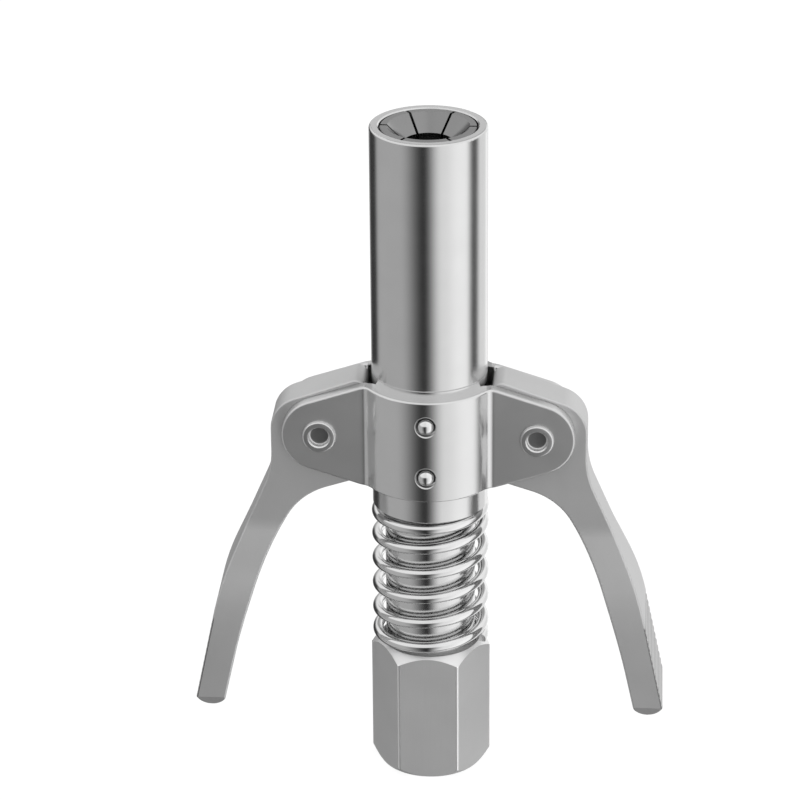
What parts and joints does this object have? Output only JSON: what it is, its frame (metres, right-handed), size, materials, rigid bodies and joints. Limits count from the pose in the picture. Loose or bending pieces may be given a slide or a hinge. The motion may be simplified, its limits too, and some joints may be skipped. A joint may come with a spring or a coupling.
{
  "type": "grease coupler",
  "caption": "Straight grease coupler: collet jaws in a sliding sleeve, released by squeezing two side levers, with a hexagon inlet and a spring round the stem.",
  "frame": {"origin": "centre of the hexagon's bottom face, the inlet end", "axes": "+Z along the stem to the mouth, -Y is the front face with the bracket pins, levers on +X and -X"},
  "size_m": [0.062, 0.0186, 0.09],
  "materials": {
    "sleeve_steel": "bright nickel plate with fine turning marks",
    "bracket_steel": "bright nickel plate on bent sheet",
    "lever_steel": "satin nickel plate on forged steel",
    "hex_steel": "satin nickel plate, machined",
    "stem_steel": "bright nickel plate, turned",
    "spring_steel": "polished nickel plated wire",
    "jaw_steel": "hardened steel, finely turned",
    "pin_steel": "polished nickel plate",
    "ball_steel": "polished bearing ball",
    "seal_rubber": "black nitrile rubber"
  },
  "bodies": {
    "core": {"hex_connector": "hex_steel", "core_stem": "stem_steel", "stem_o_ring": "seal_rubber", "valve_seat": "stem_steel", "check_spring": "spring_steel", "seal_spring": "spring_steel", "jaw_ring": "spring_steel", "main_spring": "spring_steel"},
    "sleeve": {"outer_sleeve": "sleeve_steel", "bracket_front": "bracket_steel", "bracket_rear": "bracket_steel", "bracket_pin_front_upper": "pin_steel", "bracket_pin_front_lower": "pin_steel", "bracket_pin_rear_upper": "pin_steel", "bracket_pin_rear_lower": "pin_steel", "pivot_pin_right": "pin_steel", "pivot_pin_left": "pin_steel"},
    "lever_right": {"lever_right": "lever_steel"},
    "lever_left": {"lever_left": "lever_steel"},
    "ball": {"check_ball": "ball_steel"},
    "plunger": {"seal_plunger": "stem_steel", "face_seal": "seal_rubber"},
    "jaw_1": {"jaw_1": "jaw_steel"},
    "jaw_2": {"jaw_2": "jaw_steel"},
    "jaw_3": {"jaw_3": "jaw_steel"},
    "jaw_4": {"jaw_4": "jaw_steel"},
    "jaw_5": {"jaw_5": "jaw_steel"},
    "jaw_6": {"jaw_6": "jaw_steel"}
  },
  "joints": [
    {"name": "sleeve_slide", "type": "slide", "parent": "core", "child": "sleeve", "axis": [0, 0, -1], "range_m": [0, 0.0029], "stiffness_N_per_m": 4000, "springref_m": -0.006, "deforming": ["main_spring"]},
    {"name": "lever_right_swing", "type": "hinge", "parent": "sleeve", "child": "lever_right", "pos_m": [0.01405, 0, 0.04875], "axis": [0, 1, 0], "range_deg": [0, 18]},
    {"name": "lever_left_swing", "type": "hinge", "parent": "sleeve", "child": "lever_left", "pos_m": [-0.01405, 0, 0.04875], "axis": [0, -1, 0], "range_deg": [0, 18]},
    {"name": "ball_lift", "type": "slide", "parent": "core", "child": "ball", "axis": [0, 0, 1], "range_m": [0, 0.0012], "stiffness_N_per_m": 150, "springref_m": -0.002, "deforming": ["check_spring"]},
    {"name": "plunger_press", "type": "slide", "parent": "core", "child": "plunger", "axis": [0, 0, -1], "range_m": [0, 0.0008], "stiffness_N_per_m": 1500, "springref_m": -0.001, "deforming": ["seal_spring"]},
    {"name": "jaw_1_tilt", "type": "hinge", "parent": "core", "child": "jaw_1", "pos_m": [0.00416, 0.0024, 0.0709], "axis": [-0.5, 0.866, 0], "range_deg": [0, 2.4]},
    {"name": "jaw_2_tilt", "type": "hinge", "parent": "core", "child": "jaw_2", "pos_m": [0, 0.0048, 0.0709], "axis": [-1, 0, 0], "range_deg": [0, 2.4]},
    {"name": "jaw_3_tilt", "type": "hinge", "parent": "core", "child": "jaw_3", "pos_m": [-0.00416, 0.0024, 0.0709], "axis": [-0.5, -0.866, 0], "range_deg": [0, 2.4]},
    {"name": "jaw_4_tilt", "type": "hinge", "parent": "core", "child": "jaw_4", "pos_m": [-0.00416, -0.0024, 0.0709], "axis": [0.5, -0.866, 0], "range_deg": [0, 2.4]},
    {"name": "jaw_5_tilt", "type": "hinge", "parent": "core", "child": "jaw_5", "pos_m": [0, -0.0048, 0.0709], "axis": [1, 0, 0], "range_deg": [0, 2.4]},
    {"name": "jaw_6_tilt", "type": "hinge", "parent": "core", "child": "jaw_6", "pos_m": [0.00416, -0.0024, 0.0709], "axis": [0.5, 0.866, 0], "range_deg": [0, 2.4]}
  ],
  "couplings": [
    {"joint": "lever_right_swing", "follows": "sleeve_slide", "rad_per_m": 108.39},
    {"joint": "lever_left_swing", "follows": "sleeve_slide", "rad_per_m": 108.39},
    {"joint": "jaw_1_tilt", "follows": "sleeve_slide", "rad_per_m": 14.452},
    {"joint": "jaw_2_tilt", "follows": "sleeve_slide", "rad_per_m": 14.452},
    {"joint": "jaw_3_tilt", "follows": "sleeve_slide", "rad_per_m": 14.452},
    {"joint": "jaw_4_tilt", "follows": "sleeve_slide", "rad_per_m": 14.452},
    {"joint": "jaw_5_tilt", "follows": "sleeve_slide", "rad_per_m": 14.452},
    {"joint": "jaw_6_tilt", "follows": "sleeve_slide", "rad_per_m": 14.452}
  ]
}
